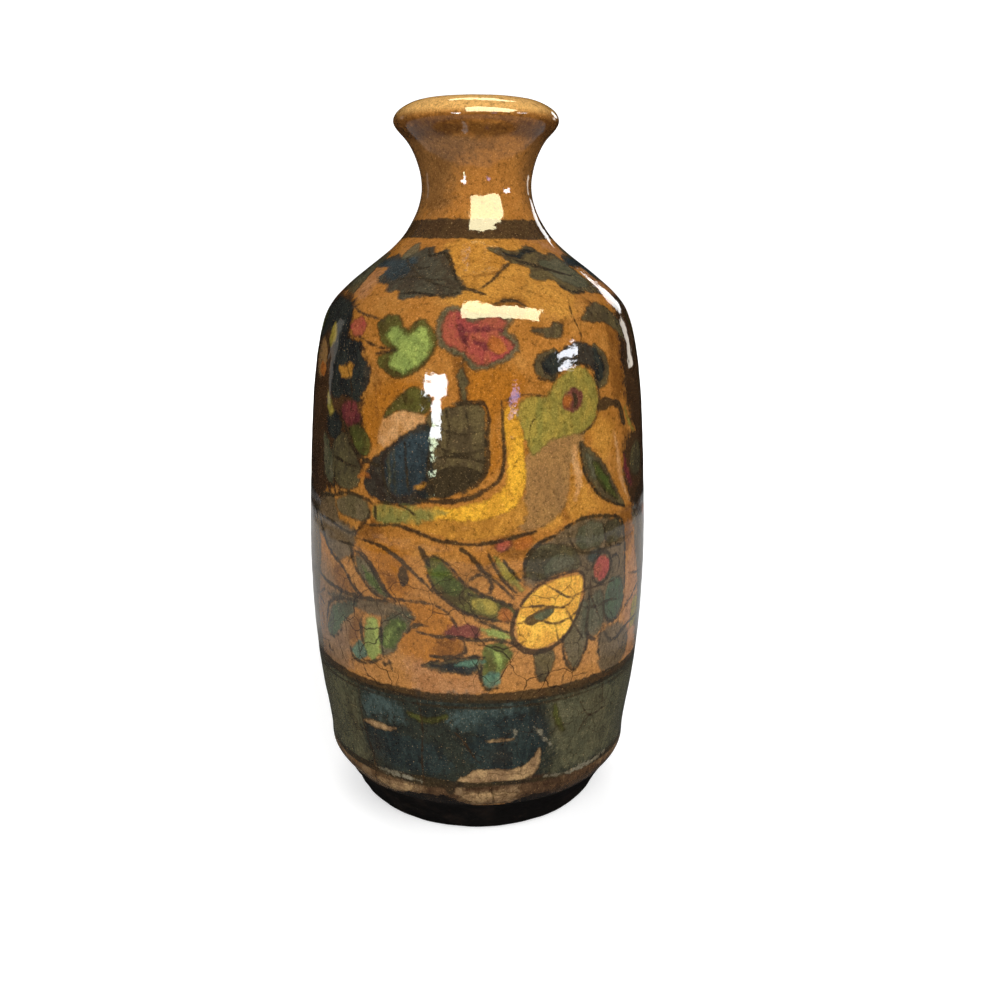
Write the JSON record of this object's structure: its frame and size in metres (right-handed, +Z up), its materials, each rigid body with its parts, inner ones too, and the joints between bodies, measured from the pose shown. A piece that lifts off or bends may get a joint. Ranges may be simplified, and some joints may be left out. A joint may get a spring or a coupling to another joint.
{
  "type": "pottery flask",
  "caption": "Round-shouldered pottery flask with a narrow flared neck, a low foot ring and a thin glaze inside and out, for holding and pouring liquid.",
  "frame": {"origin": "centre of the flat face under the foot ring, on which the flask stands", "axes": "+Z up along the axis that the flask is thrown about, -Y towards the painted front"},
  "size_m": [0.0822, 0.0822, 0.1655],
  "materials": {
    "bare_clay": "matt, bare and darkened by firing and handling",
    "luting_slip": "matt",
    "buff_clay": "matt",
    "outer_glaze": "glossy clear glaze over painted slips, finely crazed",
    "lining_glaze": "glossy, thin and uneven"
  },
  "bodies": {
    "root": {"foot_ring": "bare_clay", "foot_slip": "luting_slip", "base_cup": "buff_clay", "base_slip": "luting_slip", "barrel_wall": "buff_clay", "shoulder_slip": "luting_slip", "shoulder": "buff_clay", "neck_slip": "luting_slip", "neck": "buff_clay", "outer_glaze": "outer_glaze", "lining_glaze": "lining_glaze"}
  },
  "joints": []
}
